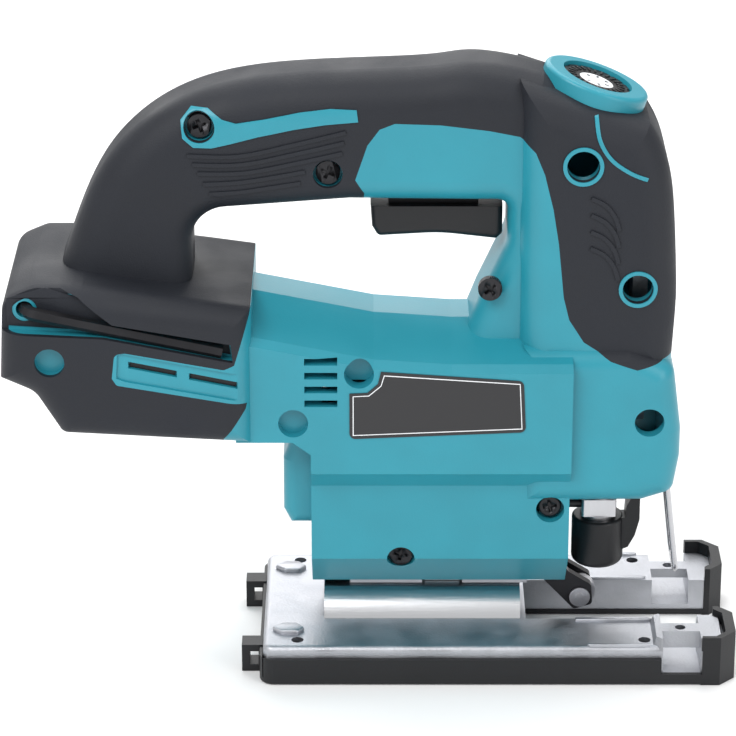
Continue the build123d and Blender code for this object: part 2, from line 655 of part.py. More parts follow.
# ---- roller arm that backs the blade, and the guard wire in front ---------------------------------
ARM_INNER, ARM_OUTER = 2.4, 5.6
with BuildPart() as roller_arm:
    for side in (-1, 1):
        with BuildSketch(across(0, 0, side * ARM_OUTER if side < 0 else ARM_INNER)) as cheek:
            with BuildLine():
                Polyline((56.5, -34), (62.5, -35), (68, -27), (76, -22), (76.5, -14.5), (70, -12.5),
                         (65, -18), (57, -26.5), close=True)
            make_face()
            fillet(cheek.vertices(), 1.5)
        extrude(amount=ARM_OUTER - ARM_INNER)
    with Locations((65.8, 0, 24.8)):
        Box(3.4, 2 * ARM_OUTER - 1, 3.0)
    for x, z, bore in ((ARM_PIVOT_X, ARM_PIVOT_Z, 1.55), (ROLLER_X, ROLLER_Z, 1.5)):
        add(disc(across(x, z, -10), bore, 20), mode=Mode.SUBTRACT)
save(roller_arm, "roller_arm")

with BuildPart() as arm_pin:
    add(disc(across(ARM_PIVOT_X, ARM_PIVOT_Z, -6.2), 1.5, 12.4))
save(arm_pin, "arm_pin")

ROLLER_BORE, ROLLER_WIDE, GROOVE_RADIUS = 1.55, 2.1, ROLLER_RADIUS - 1.6
with BuildPart() as blade_roller:
    with BuildSketch(Plane(origin=(ROLLER_X, 0, ROLLER_Z), z_dir=(0, 0, 1))):
        with BuildLine():
            Polyline((ROLLER_BORE, -ROLLER_WIDE), (ROLLER_RADIUS, -ROLLER_WIDE), (ROLLER_RADIUS, -1.0),
                     (GROOVE_RADIUS, -0.4), (GROOVE_RADIUS, 0.4), (ROLLER_RADIUS, 1.0),
                     (ROLLER_RADIUS, ROLLER_WIDE), (ROLLER_BORE, ROLLER_WIDE), close=True)
        make_face()
    revolve(axis=Axis((ROLLER_X, 0, ROLLER_Z), (0, 1, 0)))
save(blade_roller, "blade_roller")

with BuildPart() as roller_pin:
    add(disc(across(ROLLER_X, ROLLER_Z, -6.9), 1.5, 13.8))
save(roller_pin, "roller_pin")

with BuildPart() as roller_clips:
    for y in (-6.6, 5.8):
        add(disc(across(ROLLER_X, ROLLER_Z, y), 3.6, 0.8, 1.5))
save(roller_clips, "roller_clips")

with BuildPart() as guard_wire:
    with BuildLine() as wire_line:
        FilletPolyline(
            (WIRE_TOP[0], -WIRE_HALF, WIRE_TOP[1]), (WIRE_FOOT[0], -WIRE_HALF, WIRE_FOOT[1]),
            (WIRE_FOOT[0], WIRE_HALF, WIRE_FOOT[1]), (WIRE_TOP[0], WIRE_HALF, WIRE_TOP[1]), radius=3.5,
        )
    with BuildSketch(Plane(origin=wire_line.line @ 0, z_dir=wire_line.line % 0)) as wire_section:
        Circle(WIRE_RADIUS)
    sweep()
save(guard_wire, "guard_wire")

# ---- orbital action lever, on the left ------------------------------------------------------------
with BuildPart() as orbit_shaft:
    add(disc(across(LEVER_X, LEVER_Z, 8.0), 4.0, SHOE_HALF + 0.4 - 8.0))
save(orbit_shaft, "orbit_shaft")

with BuildPart() as orbit_lever:
    add(disc(across(LEVER_X, LEVER_Z, SHOE_HALF + 0.4), 11.0, 3.6))
    with Locations((LEVER_X + 4, SHOE_HALF + 5.2, LEVER_Z)):
        Box(24, 4.0, 6.5)
    fillet(orbit_lever.edges().group_by(Axis.Y)[-1], 1.0)
save(orbit_lever, "orbit_lever")

# ---- base ---------------------------------------------------------------------------------------
FENCE_X, FENCE_WIDE, FENCE_LOW, FENCE_HIGH = 105.5, 13.0, 4.0, 10.0
SCREW_HOLE = 2.1


def base_outline(half, rear, front, slot_half, slot_rear, corner):
    """A plate with a slot open at the front for the blade."""
    with BuildSketch(Plane.XY) as outline:
        with Locations(((rear + front) / 2, 0)):
            RectangleRounded(front - rear, 2 * half, corner)
        with Locations(((slot_rear + front + 20) / 2, 0)):
            Rectangle(front + 20 - slot_rear, 2 * slot_half, mode=Mode.SUBTRACT)
    return outline.sketch


TOE_REAR, TOE_TOP, TOE_BAND_WIDE = 108.0, 18.0, 3.6
TOE_BAND = [(TOE_REAR + 4, SOLE_HALF), (124, SOLE_HALF), (124, SLOT_HALF - 0.5),
            (TOE_REAR + 9, SLOT_HALF - 0.5)]
TOE_CORNERS = [
    [(118.5, SOLE_HALF), (118.5, 50), (130, 50), (130, 33), (124, 33)],
    [(119.5, SLOT_HALF - 0.5), (119.5, 5), (130, 5), (130, 19), (124, 19)],
]


def mirrored(points, side):
    """A plan outline of the left leg, or its mirror image on the right."""
    return [(x, side * y) for x, y in points]


def toe_inside(side, gap, inner):
    """The plan outline of a leg's front end inside the tray's band, grown by a gap, from that inner edge."""
    tip, wall = 124 - TOE_BAND_WIDE + gap, SOLE_HALF - TRAY_WALL - 0.1 + gap
    outline = [(TOE_REAR - 8, wall), (117.0, wall), (tip, wall - 3.4), (tip, 19.5),
               (117.5 + gap, 16.6 - gap), (117.5 + gap, inner), (TOE_REAR - 8, inner)]
    return mirrored(outline, side)


with BuildPart() as cover_plate:
    rim = base_outline(SOLE_HALF, PLATE_REAR - 1.0, 124.0, SLOT_HALF - 0.5, SLOT_REAR - 1, 5.0)
    extrude(rim, amount=TRAY_RIM)
    fillet(cover_plate.faces().sort_by(Axis.Z)[0].outer_wire().edges(), 0.8)
    for side in (-1, 1):
        extrude(polygon(mirrored(TOE_BAND, side), Plane.XY), amount=TOE_TOP)
        for corner in TOE_CORNERS:
            extrude(polygon(mirrored(corner, side), Plane.XY), amount=TOE_TOP, mode=Mode.SUBTRACT)
    for side in (-1, 1):
        with Locations((PLATE_REAR - 3.5, side * 24.5, 5)):
            Box(7.5, 7, 10)
        with Locations((PLATE_REAR - 3.0, side * 24.5, 5)):
            Box(3.0, 8, 5, mode=Mode.SUBTRACT)
    with BuildSketch(Plane.XY.offset(TRAY_FLOOR)) as tray_pocket:
        with Locations(((PLATE_REAR + TOE_REAR) / 2, 0)):
            Rectangle(TOE_REAR - PLATE_REAR, 2 * (SOLE_HALF - TRAY_WALL))
    extrude(amount=40, mode=Mode.SUBTRACT)
    for side in (-1, 1):
        extrude(polygon(toe_inside(side, 0.1, SLOT_HALF - 3), Plane.XY.offset(TRAY_FLOOR)), amount=40,
                mode=Mode.SUBTRACT)
    with BuildSketch(Plane.XY) as bolt_access:
        with Locations((CLAMP_X + BASE_SLIDE / 2, 0)):
            RectangleRounded(BASE_SLIDE + 20, 16, 4)
    extrude(amount=TRAY_FLOOR, mode=Mode.SUBTRACT)
    for side in (-1, 1):
        with Locations((FENCE_X, side * SOLE_HALF, 8.5)):
            Box(FENCE_WIDE + 1, 8, 9, mode=Mode.SUBTRACT)
save(cover_plate, "cover_plate")

PLATE_BOTTOM = TRAY_FLOOR + 0.05
PLATE_HALF = SOLE_HALF - TRAY_WALL - 0.1
PAD_RISE = 2.8
PAD_OUTLINE = [(95.5, 34.5), (98, PLATE_HALF), (117, PLATE_HALF), (120.4, 33.4), (120.4, 19.5), (117.5, 16.6),
               (98, 15.5), (95.5, 17.5)]
with BuildPart() as base_plate:
    flat = base_outline(PLATE_HALF, PLATE_REAR + 0.2, 113.3, SLOT_HALF, SLOT_REAR, 3.5)
    extrude(Plane.XY.offset(PLATE_BOTTOM) * flat, amount=PLATE_TOP - PLATE_BOTTOM)
    fillet(base_plate.faces().sort_by(Axis.Z)[-1].outer_wire().edges().filter_by(Axis.X)[0:1], 2.0)
    with Locations(((SADDLE_REAR + SADDLE_FRONT) / 2, 0, 8)):
        Box(SADDLE_FRONT - SADDLE_REAR + 0.2, 2 * (TILT_RADIUS - 3.2), 20, mode=Mode.SUBTRACT)
    for side in (-1, 1):
        extrude(polygon(toe_inside(side, 0, SLOT_HALF), Plane.XY.offset(PLATE_BOTTOM)),
                amount=PLATE_TOP - PLATE_BOTTOM)
        extrude(polygon(mirrored(PAD_OUTLINE, side), Plane.XY.offset(PLATE_TOP - 1)), amount=PAD_RISE + 1,
                taper=20)
    for side in (-1, 1):
        with Locations((FENCE_X, side * 26, (FENCE_LOW + FENCE_HIGH) / 2)):
            Box(FENCE_WIDE, 30, FENCE_HIGH - FENCE_LOW, mode=Mode.SUBTRACT)
        with Locations((FENCE_X, side * 19, 14), (FENCE_X, side * 35, 14)):
            Box(FENCE_WIDE, 10, 20, mode=Mode.SUBTRACT)
        with Locations((FENCE_X, side * 27, 12)):
            Cylinder(1.8, 12, mode=Mode.SUBTRACT)
        with Locations((-26, side * 31, 10), (93, side * 31, 10)):
            Cylinder(SCREW_HOLE, 24, mode=Mode.SUBTRACT)
save(base_plate, "base_plate")

with BuildPart() as bevel_saddle:
    with BuildSketch(Plane.YZ.offset(SADDLE_REAR)) as arch_section:
        with Locations((0, TILT_Z)):
            Circle(TILT_RADIUS)
            Circle(TILT_RADIUS - SADDLE_WALL, mode=Mode.SUBTRACT)
        with Locations((0, PLATE_TOP + 20.05)):
            Rectangle(60, 40, mode=Mode.INTERSECT)
    extrude(amount=SADDLE_FRONT - SADDLE_REAR)
    with Locations((CLAMP_X + BASE_SLIDE / 2, 0, 24)):
        Box(BASE_SLIDE + 6.6, 6.6, 10, mode=Mode.SUBTRACT)
save(bevel_saddle, "bevel_saddle")


def curved_piece(x, inner, outer, half_length, spread):
    """Part of a ring about the tilt axis, spread degrees to each side of the top."""
    with BuildPart() as piece:
        with BuildSketch(along(x - half_length, z=TILT_Z)) as sector:
            Circle(outer)
            Circle(inner, mode=Mode.SUBTRACT)
            with BuildLine():
                reach = 2 * outer
                edge = (reach * sin(radians(spread)), reach * cos(radians(spread)))
                Polyline((0, 0), edge, (-edge[0], edge[1]), close=True)
            make_face(mode=Mode.INTERSECT)
        extrude(amount=2 * half_length)
    return piece.part


SHOE_OUTER, SHOE_INNER, BOLT_RADIUS = 12.8, 10.4, 3.0
with BuildPart() as clamp_shoe:
    add(curved_piece(CLAMP_X, SHOE_INNER, SHOE_OUTER, 8.0, 28))
    add(disc(upward(CLAMP_X, 12), BOLT_RADIUS + 0.05, 20), mode=Mode.SUBTRACT)
save(clamp_shoe, "clamp_shoe")

with BuildPart() as clamp_nut:
    add(curved_piece(CLAMP_X, TILT_RADIUS + 0.2, NUT_GROOVE_RADIUS - 0.4, NUT_HALF_LENGTH, 18))
    add(disc(upward(CLAMP_X, 12), BOLT_RADIUS + 0.05, 20), mode=Mode.SUBTRACT)
save(clamp_nut, "clamp_nut")

with BuildPart() as clamp_bolt:
    add(disc(upward(CLAMP_X, 16.8), BOLT_RADIUS, 10.2))
    add(disc(upward(CLAMP_X, 12.8), 5.2, 4.0))
    with BuildSketch(Plane.XY.offset(12.8)) as socket:
        with Locations((CLAMP_X, 0)):
            RegularPolygon(HEX_SIZE / 2, 6, major_radius=False)
    extrude(amount=3, mode=Mode.SUBTRACT)
save(clamp_bolt, "clamp_bolt")

# ---- label and stowed hex key ---------------------------------------------------------------------
LABEL_EDGE = [(-8, 89), (-8, 105.5), (-2, 105.8), (1.5, 109), (2.5, 113.4), (50, 110), (51, 91.5)]
with BuildPart() as rating_label:
    extrude(polygon(LABEL_EDGE, Plane.XZ.offset(BODY_HALF), rounded={0: 2, 5: 2, 6: 2}), amount=0.3)
save(rating_label, "rating_label")

with BuildPart() as hex_wrench:
    bend_x, bend_z = HEX_BEND
    end_x, end_z = HEX_END
    with BuildLine() as wrench_line:
        FilletPolyline((bend_x, -17, bend_z), (bend_x, -33.2, bend_z), (end_x, -33.2, end_z), radius=4.5)
    with BuildSketch(Plane(origin=wrench_line.line @ 0, z_dir=wrench_line.line % 0)) as hex_section:
        RegularPolygon(HEX_SIZE / 2, 6, major_radius=False)
    sweep()
save(hex_wrench, "hex_wrench")
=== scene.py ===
# %% [markdown]
# # A cordless jigsaw, dressed around its CAD frame
# The CAD model already holds every shell, gear and plate at its true size. This lesson adds what the
# eye looks for: moulded ribs and inlays, rims round the screw wells, crosses in the screw heads, and
# a fitting surface for each metal and plastic. The frame is loaded first, because every place below
# is measured from it.

# %% Load the frame
import json
from math import cos, pi, radians, sin

import bpy
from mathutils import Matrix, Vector


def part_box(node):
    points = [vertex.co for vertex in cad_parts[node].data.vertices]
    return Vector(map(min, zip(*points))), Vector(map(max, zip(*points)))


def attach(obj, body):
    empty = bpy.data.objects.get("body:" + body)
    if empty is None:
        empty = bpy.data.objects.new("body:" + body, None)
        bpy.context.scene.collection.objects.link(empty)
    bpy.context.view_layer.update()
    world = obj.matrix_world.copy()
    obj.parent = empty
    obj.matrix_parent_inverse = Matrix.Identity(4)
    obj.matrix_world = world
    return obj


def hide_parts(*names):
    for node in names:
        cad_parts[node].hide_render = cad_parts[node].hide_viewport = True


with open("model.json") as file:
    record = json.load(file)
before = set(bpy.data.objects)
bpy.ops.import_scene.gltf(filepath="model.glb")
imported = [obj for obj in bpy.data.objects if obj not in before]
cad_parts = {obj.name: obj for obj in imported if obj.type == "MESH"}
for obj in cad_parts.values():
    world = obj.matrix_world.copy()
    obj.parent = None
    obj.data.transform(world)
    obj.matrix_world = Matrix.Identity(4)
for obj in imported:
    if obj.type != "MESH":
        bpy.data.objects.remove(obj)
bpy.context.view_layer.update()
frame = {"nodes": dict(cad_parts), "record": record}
MM = 0.001

# %% [markdown]
# The saw stands on a pale floor in a white room. One big soft lamp hangs over the front left, and
# weaker ones light the right, the top and the back. A pale world fills the rest, which gives the long
# soft highlights that show how a moulding is rounded. A long lens from over a metre away keeps both
# base legs parallel.

# %% Floor, lights and camera
LAMP_AIM = Vector((0, 0, 0.1))
WORLD_STRENGTH = 0.6


def add_floor():
    """A wide sheet of white paper just under the base."""
    bpy.ops.object.select_all(action="DESELECT")
    bpy.ops.mesh.primitive_plane_add(size=6, location=(0, 0, -0.0002))
    floor = bpy.context.object
    floor.name = "studio_floor"
    paper = bpy.data.materials.new("white_paper")
    paper.use_nodes = True
    shader = paper.node_tree.nodes["Principled BSDF"]
    shader.inputs["Base Color"].default_value = (0.86, 0.86, 0.86, 1)
    shader.inputs["Roughness"].default_value = 0.9
    floor.data.materials.append(paper)


def add_lamp(name, place, size, power):
    """A soft rectangular lamp that looks at the middle of the tool; size in metres, power in watts."""
    bpy.ops.object.light_add(type="AREA", location=place)
    lamp = bpy.context.object
    lamp.name = name
    lamp.data.shape = "RECTANGLE"
    lamp.data.size, lamp.data.size_y = size
    lamp.data.energy = power
    lamp.rotation_euler = (LAMP_AIM - Vector(place)).to_track_quat("-Z", "Y").to_euler()


add_floor()
add_lamp("key_lamp", (-0.55, -0.75, 1.05), (0.9, 0.6), 12)
add_lamp("fill_lamp", (0.9, -0.8, 0.55), (0.6, 0.9), 5)
add_lamp("top_lamp", (0.1, 0.35, 1.2), (1.2, 0.6), 9)
add_lamp("back_lamp", (-0.3, 1.1, 0.7), (1.2, 0.8), 7)

world = bpy.data.worlds.new("white_room")
bpy.context.scene.world = world
world.use_nodes = True
world.node_tree.nodes["Background"].inputs["Color"].default_value = (1.0, 1.0, 1.0, 1)
world.node_tree.nodes["Background"].inputs["Strength"].default_value = WORLD_STRENGTH

CAMERA_DISTANCE, CAMERA_TILT, LENS = 1.2, radians(23), 172
AIM = Vector((-0.0018, 0, 0.1016))
bpy.ops.object.camera_add(
    location=AIM + CAMERA_DISTANCE * Vector((0, -cos(CAMERA_TILT), sin(CAMERA_TILT))),
    rotation=(pi / 2 - CAMERA_TILT, 0, 0),
)
camera = bpy.context.object
camera.data.lens, camera.data.sensor_width = LENS, 36
bpy.context.scene.camera = camera
bpy.context.scene.view_settings.view_transform = "Standard"
print("camera at", tuple(round(v, 3) for v in camera.location))

# %% [markdown]
# Every surface is a small node graph on the Principled shader. Two noises are shared by all: a fine
# one pushes the surface in and out as grain, and a broad one varies colour and roughness a little,
# because no real moulding is even. Object coordinates are in metres and stay put on every piece.

# %% A helper that builds a surface
def surface(name, colour, roughness, metallic=0.0, grain=900, depth=0.00003, mottle=45, vary=0.06,
            stretch=(1, 1, 1), coat=0.0, specular=0.5):
    """A procedural surface: colour and roughness vary by vary, and grain of that depth in metres."""
    material = bpy.data.materials.new(name)
    material.use_nodes = True
    nodes, links = material.node_tree.nodes, material.node_tree.links
    shader = nodes["Principled BSDF"]
    shader.inputs["Metallic"].default_value = metallic
    shader.inputs["Coat Weight"].default_value = coat
    shader.inputs["Specular IOR Level"].default_value = specular
    place = nodes.new("ShaderNodeTexCoord")
    scale = nodes.new("ShaderNodeMapping")
    scale.inputs["Scale"].default_value = stretch
    links.new(place.outputs["Object"], scale.inputs["Vector"])
    fine = nodes.new("ShaderNodeTexNoise")
    fine.inputs["Scale"].default_value = grain
    fine.inputs["Detail"].default_value = 3
    broad = nodes.new("ShaderNodeTexNoise")
    broad.inputs["Scale"].default_value = mottle
    broad.inputs["Detail"].default_value = 5
    for noise in (fine, broad):
        links.new(scale.outputs["Vector"], noise.inputs["Vector"])
    tint = nodes.new("ShaderNodeValToRGB")
    tint.color_ramp.elements[0].position = 0.3
    tint.color_ramp.elements[1].position = 0.7
    tint.color_ramp.elements[0].color = (*[c * (1 - vary) for c in colour], 1)
    tint.color_ramp.elements[1].color = (*[min(c * (1 + vary), 1) for c in colour], 1)
    links.new(broad.outputs["Fac"], tint.inputs["Fac"])
    links.new(tint.outputs["Color"], shader.inputs["Base Color"])
    gloss = nodes.new("ShaderNodeMapRange")
    gloss.inputs["From Min"].default_value = 0.3
    gloss.inputs["From Max"].default_value = 0.7
    gloss.inputs["To Min"].default_value = roughness * (1 - 1.5 * vary)
    gloss.inputs["To Max"].default_value = roughness * (1 + 1.5 * vary)
    links.new(broad.outputs["Fac"], gloss.inputs["Value"])
    links.new(gloss.outputs["Result"], shader.inputs["Roughness"])
    bump = nodes.new("ShaderNodeBump")
    bump.inputs["Distance"].default_value = depth
    bump.inputs["Strength"].default_value = 1.0
    links.new(fine.outputs["Fac"], bump.inputs["Height"])
    links.new(bump.outputs["Normal"], shader.inputs["Normal"])
    return material


# %% [markdown]
# The finishes of this saw. The hard shells are blue-green nylon with spark-eroded satin texture, the
# grip is a soft elastomer with a coarser stipple, the base is sand-rough die-cast aluminium with a
# brighter, brushed saddle, and the small steels are ground or blackened.

# %% Finishes
TEAL, ELASTOMER, BLACK = (0.016, 0.240, 0.312), (0.0135, 0.0155, 0.021), (0.009, 0.0095, 0.011)
FINISH = {
    "shell_plastic": surface("teal_nylon", TEAL, 0.38, grain=1400, depth=0.000035, vary=0.05),
    "grip_rubber": surface("stippled_elastomer", ELASTOMER, 0.58, specular=0.3, grain=1900,
                           depth=0.00011, vary=0.10),
    "black_plastic": surface("black_nylon", BLACK, 0.42, specular=0.35, grain=1500, depth=0.00005,
                             vary=0.08),
    "label_film": surface("label_film", (0.012, 0.012, 0.014), 0.30, grain=2500, depth=0.00001),
    "dial_print": surface("white_print", (0.78, 0.80, 0.82), 0.35, grain=2500, depth=0.00001,
                          vary=0.02),
    "cast_aluminium": surface("die_cast_aluminium", (0.46, 0.47, 0.50), 0.46, metallic=1.0, grain=1100,
                              depth=0.00012, mottle=90, vary=0.14),
    "bright_aluminium": surface("brushed_saddle", (0.72, 0.73, 0.75), 0.26, metallic=1.0, grain=1600,
                                depth=0.00004, stretch=(0.06, 1, 1), vary=0.08),
    "steel": surface("ground_steel", (0.52, 0.52, 0.54), 0.28, metallic=1.0, grain=2200, depth=0.00003,
                     stretch=(1, 1, 0.15), vary=0.10),
    "black_steel": surface("black_oxide", (0.022, 0.022, 0.025), 0.34, metallic=0.6, grain=1800,
                           depth=0.00003, vary=0.12),
    "bronze": surface("sintered_bronze", (0.55, 0.34, 0.14), 0.42, metallic=1.0, grain=2400, vary=0.12),
    "contact_metal": surface("plated_contact", (0.75, 0.60, 0.32), 0.25, metallic=1.0, vary=0.05),
}
SLOT_OF = {row["node"]: row["material_slot"] for row in frame["record"]["subparts"]}
for node, piece in frame["nodes"].items():
    piece.data.materials.clear()
    piece.data.materials.append(FINISH[SLOT_OF[node]])
print(len(frame["nodes"]), "CAD nodes dressed in", len(FINISH), "finishes")

# %% [markdown]
# Much of what the eye reads on a moulded tool is thin: a coloured inlay, fine ribs, a rim round a
# screw well. Each could be carved by hand, but it has to lie exactly on a curved shell. So each is
# drawn flat, as a filled curve, cut into small squares, dropped sideways on to the shell with a
# Shrinkwrap, and only then given its thickness and its soft edge.

# %% Helpers for thin pieces that lie on the shells
OUTSIDE = -60 * MM              # where outlines are drawn, well outside the tool's right side
NOT_DROPPED = 0.95 * OUTSIDE    # a point still beyond this met no shell on its way in


def only(piece):
    """Makes one object the selected and active one."""
    bpy.ops.object.select_all(action="DESELECT")
    piece.select_set(True)
    bpy.context.view_layer.objects.active = piece
    return piece


def flat_outline(name, loops, depth=OUTSIDE):
    """A filled outline that stands upright at that Y; loops are (x, z) in mm, the later ones holes."""
    curve = bpy.data.curves.new(name, "CURVE")
    curve.dimensions = "2D"
    curve.fill_mode = "BOTH"
    for loop in loops:
        spline = curve.splines.new("POLY")
        spline.points.add(len(loop) - 1)
        for point, (x, z) in zip(spline.points, loop):
            point.co = (x * MM, z * MM, 0, 1)
        spline.use_cyclic_u = True
    piece = bpy.data.objects.new(name, curve)
    bpy.context.scene.collection.objects.link(piece)
    piece.location = (0, depth, 0)
    piece.rotation_euler = (pi / 2, 0, 0)
    only(piece)
    bpy.ops.object.convert(target="MESH")
    bpy.ops.object.transform_apply()
    return bpy.context.object


def cut_into_squares(piece, step=1.6 * MM):
    """Cuts a flat piece along X and Z so that it can bend."""
    only(piece)
    corners = [vertex.co.copy() for vertex in piece.data.vertices]
    bpy.ops.object.mode_set(mode="EDIT")
    for axis in (0, 2):
        place = min(corner[axis] for corner in corners) + step
        across = [1 if side == axis else 0 for side in range(3)]
        while place < max(corner[axis] for corner in corners):
            bpy.ops.mesh.select_all(action="SELECT")
            bpy.ops.mesh.bisect(plane_co=[place * part for part in across], plane_no=across)
            place += step
    bpy.ops.object.mode_set(mode="OBJECT")


def apply_all(piece):
    """Applies every modifier, first to last."""
    only(piece)
    for modifier in list(piece.modifiers):
        bpy.ops.object.modifier_apply(modifier=modifier.name)


def extrude_all(piece, way):
    """Makes a flat piece a closed solid, drawn out along that way in mm."""
    only(piece)
    bpy.ops.object.mode_set(mode="EDIT")
    bpy.ops.mesh.select_all(action="SELECT")
    bpy.ops.mesh.extrude_region_move(TRANSFORM_OT_translate={"value": [part * MM for part in way]})
    bpy.ops.mesh.select_all(action="SELECT")
    bpy.ops.mesh.normals_make_consistent(inside=False)
    bpy.ops.object.mode_set(mode="OBJECT")


def add_soft_edge(piece, width, segments=2, sharper_than=50):
    """Adds a bevel of that width in mm on every edge sharper than that angle in degrees."""
    soft = piece.modifiers.new("soft_edge", "BEVEL")
    soft.width = width * MM
    soft.segments = segments
    soft.limit_method = "ANGLE"
    soft.angle_limit = radians(sharper_than)


def lay_on(piece, node, proud, sunk=0.3, edge=0.25):
    """Drops a flat piece on to a CAD node, then makes it that thick in mm, with a soft edge."""
    cut_into_squares(piece)
    wrap = piece.modifiers.new("wrap", "SHRINKWRAP")
    wrap.wrap_method = "PROJECT"
    wrap.target = frame["nodes"][node]
    wrap.use_project_y = True
    apply_all(piece)
    missed = [vertex for vertex in piece.data.vertices if vertex.co.y < NOT_DROPPED]
    if missed:
        print(piece.name, "has", len(missed), "points beside the shell")
        bpy.ops.object.mode_set(mode="EDIT")
        bpy.ops.mesh.select_all(action="DESELECT")
        bpy.ops.object.mode_set(mode="OBJECT")
        for vertex in missed:
            vertex.select = True
        bpy.ops.object.mode_set(mode="EDIT")
        bpy.ops.mesh.delete(type="VERT")
        bpy.ops.object.mode_set(mode="OBJECT")
    thick = piece.modifiers.new("thick", "SOLIDIFY")
    thick.thickness = (proud + sunk) * MM
    thick.offset = (proud - sunk) / (proud + sunk)
    thick.use_even_offset = True
    add_soft_edge(piece, edge)
    apply_all(piece)
    bpy.ops.object.shade_smooth_by_angle(angle=radians(40))


def dress(piece, slot_name, body="housing"):
    """Gives a piece its finish, its slot and the body that it rides on."""
    piece.data.materials.clear()
    piece.data.materials.append(FINISH[slot_name])
    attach(piece, body)


def twin(piece, name):
    """A copy for the other side of the tool, mirrored through the mid-plane."""
    only(piece)
    bpy.ops.object.duplicate()
    other = bpy.context.object
    other.name = name
    bpy.ops.object.mode_set(mode="EDIT")
    bpy.ops.mesh.select_all(action="SELECT")
    bpy.ops.transform.resize(value=(1, -1, 1), center_override=(0, 0, 0))
    bpy.ops.mesh.flip_normals()
    bpy.ops.object.mode_set(mode="OBJECT")
    return other


def circle(x, z, radius, points=40):
    """A round loop."""
    return [(x + radius * cos(2 * pi * k / points), z + radius * sin(2 * pi * k / points))
            for k in range(points)]


def stroke(points, wide):
    """The loop round a line of that width, square at its ends."""
    line = [Vector(point) for point in points]
    sides = ([], [])
    for k, here in enumerate(line):
        run = (line[min(k + 1, len(line) - 1)] - line[max(k - 1, 0)]).normalized()
        normal = Vector((-run.y, run.x)) * wide / 2
        sides[0].append(tuple(here + normal))
        sides[1].append(tuple(here - normal))
    return sides[0] + sides[1][::-1]


def smooth_line(points, steps=6):
    """More points on a smooth curve through the given ones."""
    line = [Vector(points[0])] + [Vector(point) for point in points] + [Vector(points[-1])]
    result = []
    for a, b, c, d in zip(line, line[1:], line[2:], line[3:]):
        for k in range(steps):
            t = k / steps
            result.append(0.5 * (2 * b + (c - a) * t + (2 * a - 5 * b + 4 * c - d) * t * t
                                 + (3 * b - a - 3 * c + d) * t ** 3))
    return [tuple(point) for point in result] + [tuple(points[-1])]


# %% [markdown]
# The handle has a blue-green inlay that loops round the rear screw and runs forward as a thin band.
# On the real tool it is the hard shell showing through a window in the soft skin. Here it is a thin
# band that stands just proud of the skin, with a hole for the screw well.

# %% Handle inlay
BAND = [(-62.5, 190.5), (-63, 196), (-59.5, 200), (-54, 200), (-49.5, 196.8), (-45, 195.6), (-36, 197),
        (-24, 199.4), (-14, 200.6), (-5.5, 200.2), (-5, 196.2), (-16, 195.2), (-26, 193.6), (-38, 191),
        (-47, 188.6), (-53, 187.2), (-59, 187.4)]
inlay = flat_outline("handle_inlay_right", [BAND, circle(-57, 194, 5.1)])
lay_on(inlay, "grip_cover_right", proud=0.5)
dress(inlay, "shell_plastic")
dress(twin(inlay, "handle_inlay_left"), "shell_plastic")
print("handle inlay:", len(inlay.data.vertices), "vertices")

# %% [markdown]
# Below the inlay the skin carries a pad of fine ribs for the palm, and each side of the front grip
# has four short curved ribs. All are strokes of soft skin, so they share one helper.

# %% Palm ribs and front ribs
def ribs(name, lines, wide, proud):
    """Soft ribs along those lines, on both sides."""
    for k, line in enumerate(lines):
        rib = flat_outline(f"{name}_{k + 1}_right", [stroke(smooth_line(line), wide)])
        lay_on(rib, "grip_cover_right", proud=proud)
        dress(rib, "grip_rubber")
        dress(twin(rib, f"{name}_{k + 1}_left"), "grip_rubber")


PALM_LINES = [[(-61 + 1.6 * k, 184.5 - 3.1 * k), (-44 + 0.8 * k, 184.4 - 2.9 * k),
               (-25, 188.6 - 3.3 * k), (-9 - 0.6 * k, 192.6 - 3.6 * k)] for k in range(3)]
PALM_LINES += [[(-56, 174.6), (-44, 175.3), (-32, 177.2), (-22.5, 179)],
               [(-54, 171.2), (-44, 171.9), (-34, 173.4), (-24, 175)]]
ribs("palm_rib", PALM_LINES, wide=1.3, proud=0.55)
FRONT_RIBS, FRONT_RIB_PITCH = 4, 5.8
FRONT_RIB = [(71.4, 172), (76.0, 169.6), (79.2, 165.6), (80.8, 160.8)]
FRONT_LINES = [[(x, z - FRONT_RIB_PITCH * k) for x, z in FRONT_RIB] for k in range(FRONT_RIBS)]
ribs("front_rib", FRONT_LINES, wide=1.4, proud=0.6)
print("ribs:", len(PALM_LINES), "palm,", len(FRONT_LINES), "front, each side")

# %% [markdown]
# Screw wells in the soft skin are lined by the hard shell, which shows as a bright rim. The front cap
# is edged by a thin blue-green line that runs down from the dial.

# %% Well rims and the line round the front cap
RIM_WIDE = 1.3
for name, x, z, inner in (("upper", 68.5, 183, 5.4), ("lower", 87.5, 140, 5.1)):
    rim = flat_outline(f"well_rim_{name}_right", [circle(x, z, inner + RIM_WIDE), circle(x, z, inner)])
    lay_on(rim, "grip_cover_right", proud=0.55)
    dress(rim, "shell_plastic")
    dress(twin(rim, f"well_rim_{name}_left"), "shell_plastic")
CAP_LINE = smooth_line([(72.5, 199), (73.6, 192), (77.5, 185.5), (83.5, 181), (89.6, 178.3)])
cap_line = flat_outline("cap_line_right", [stroke(CAP_LINE, RIM_WIDE)])
lay_on(cap_line, "grip_cover_right", proud=0.45)
dress(cap_line, "shell_plastic")
dress(twin(cap_line, "cap_line_left"), "shell_plastic")
print("rims and cap line made")

# %% [markdown]
# Recesses must really go in, because a dark patch on a flat face never looks deep. So a CAD node is
# copied, its loose triangles are merged, and plain prisms are subtracted from the copy.

